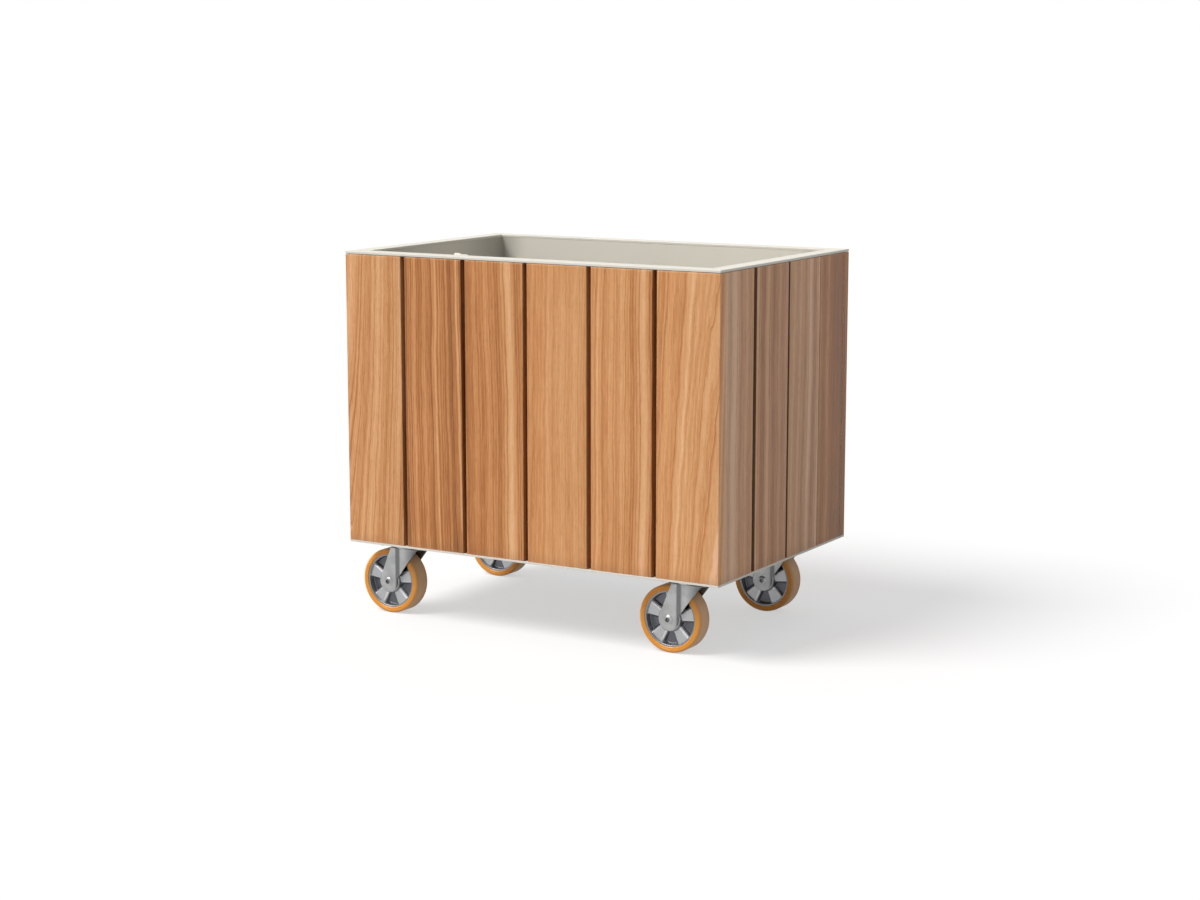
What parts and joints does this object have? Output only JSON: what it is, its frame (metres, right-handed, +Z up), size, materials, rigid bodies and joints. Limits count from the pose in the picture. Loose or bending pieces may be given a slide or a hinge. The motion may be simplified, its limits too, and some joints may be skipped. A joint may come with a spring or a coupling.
{
  "type": "rolling planter",
  "caption": "Rectangular floor planter: metal tub with a flat rim, clad in upright boards, on swivel casters with spoked metal wheels and orange tyres.",
  "frame": {"origin": "on the floor, under the middle of the tub", "axes": "+Z up, X along the long side, -Y is the front shown in the picture; all wheels trail towards -X at rest"},
  "size_m": [1.0279, 0.667, 0.899],
  "materials": {
    "board_wood": "oiled hardwood, straight and cathedral grain",
    "cream_powder_coat": "fine matt powder coat",
    "galvanised_steel": "galvanised",
    "stainless_screws": "plain stainless",
    "zinc_plated_steel": "bright zinc plate, satin",
    "bearing_steel": "ground",
    "cast_aluminium": "as cast, satin",
    "orange_polyurethane": "smooth satin polyurethane"
  },
  "bodies": {
    "planter": {"front_board_1": "board_wood", "front_board_2": "board_wood", "front_board_3": "board_wood", "front_board_4": "board_wood", "front_board_5": "board_wood", "front_board_6": "board_wood", "back_board_1": "board_wood", "back_board_2": "board_wood", "back_board_3": "board_wood", "back_board_4": "board_wood", "back_board_5": "board_wood", "back_board_6": "board_wood", "left_board_1": "board_wood", "left_board_2": "board_wood", "left_board_3": "board_wood", "left_board_4": "board_wood", "right_board_1": "board_wood", "right_board_2": "board_wood", "right_board_3": "board_wood", "right_board_4": "board_wood", "liner_walls": "cream_powder_coat", "liner_floor": "cream_powder_coat", "rim": "cream_powder_coat", "base_plate": "cream_powder_coat", "floor_bearers": "cream_powder_coat", "board_rails": "galvanised_steel", "board_screws": "stainless_screws", "caster_bolts": "zinc_plated_steel", "kingpins": "zinc_plated_steel", "drain_spigot": "cream_powder_coat", "hose_clip": "cream_powder_coat", "front_left_top_plate": "zinc_plated_steel", "front_left_ball_race": "bearing_steel", "front_right_top_plate": "zinc_plated_steel", "front_right_ball_race": "bearing_steel", "back_left_top_plate": "zinc_plated_steel", "back_left_ball_race": "bearing_steel", "back_right_top_plate": "zinc_plated_steel", "back_right_ball_race": "bearing_steel"},
    "front_left_swivel_fork": {"front_left_fork": "zinc_plated_steel", "front_left_axle": "zinc_plated_steel"},
    "front_left_wheel": {"front_left_bearings": "bearing_steel", "front_left_wheel_core": "cast_aluminium", "front_left_tyre": "orange_polyurethane"},
    "front_right_swivel_fork": {"front_right_fork": "zinc_plated_steel", "front_right_axle": "zinc_plated_steel"},
    "front_right_wheel": {"front_right_bearings": "bearing_steel", "front_right_wheel_core": "cast_aluminium", "front_right_tyre": "orange_polyurethane"},
    "back_left_swivel_fork": {"back_left_fork": "zinc_plated_steel", "back_left_axle": "zinc_plated_steel"},
    "back_left_wheel": {"back_left_bearings": "bearing_steel", "back_left_wheel_core": "cast_aluminium", "back_left_tyre": "orange_polyurethane"},
    "back_right_swivel_fork": {"back_right_fork": "zinc_plated_steel", "back_right_axle": "zinc_plated_steel"},
    "back_right_wheel": {"back_right_bearings": "bearing_steel", "back_right_wheel_core": "cast_aluminium", "back_right_tyre": "orange_polyurethane"}
  },
  "joints": [
    {"name": "front_left_swivel", "type": "hinge", "parent": "planter", "child": "front_left_swivel_fork", "pos_m": [-0.393, -0.2395, 0.17], "axis": [0, 0, 1], "continuous": true},
    {"name": "front_left_roll", "type": "hinge", "parent": "front_left_swivel_fork", "child": "front_left_wheel", "pos_m": [-0.4404, -0.2395, 0.08], "axis": [0, 1, 0], "continuous": true},
    {"name": "front_right_swivel", "type": "hinge", "parent": "planter", "child": "front_right_swivel_fork", "pos_m": [0.393, -0.2395, 0.17], "axis": [0, 0, 1], "continuous": true},
    {"name": "front_right_roll", "type": "hinge", "parent": "front_right_swivel_fork", "child": "front_right_wheel", "pos_m": [0.3456, -0.2395, 0.08], "axis": [0, 1, 0], "continuous": true},
    {"name": "back_left_swivel", "type": "hinge", "parent": "planter", "child": "back_left_swivel_fork", "pos_m": [-0.393, 0.2395, 0.17], "axis": [0, 0, 1], "continuous": true},
    {"name": "back_left_roll", "type": "hinge", "parent": "back_left_swivel_fork", "child": "back_left_wheel", "pos_m": [-0.4404, 0.2395, 0.08], "axis": [0, 1, 0], "continuous": true},
    {"name": "back_right_swivel", "type": "hinge", "parent": "planter", "child": "back_right_swivel_fork", "pos_m": [0.393, 0.2395, 0.17], "axis": [0, 0, 1], "continuous": true},
    {"name": "back_right_roll", "type": "hinge", "parent": "back_right_swivel_fork", "child": "back_right_wheel", "pos_m": [0.3456, 0.2395, 0.08], "axis": [0, 1, 0], "continuous": true}
  ]
}
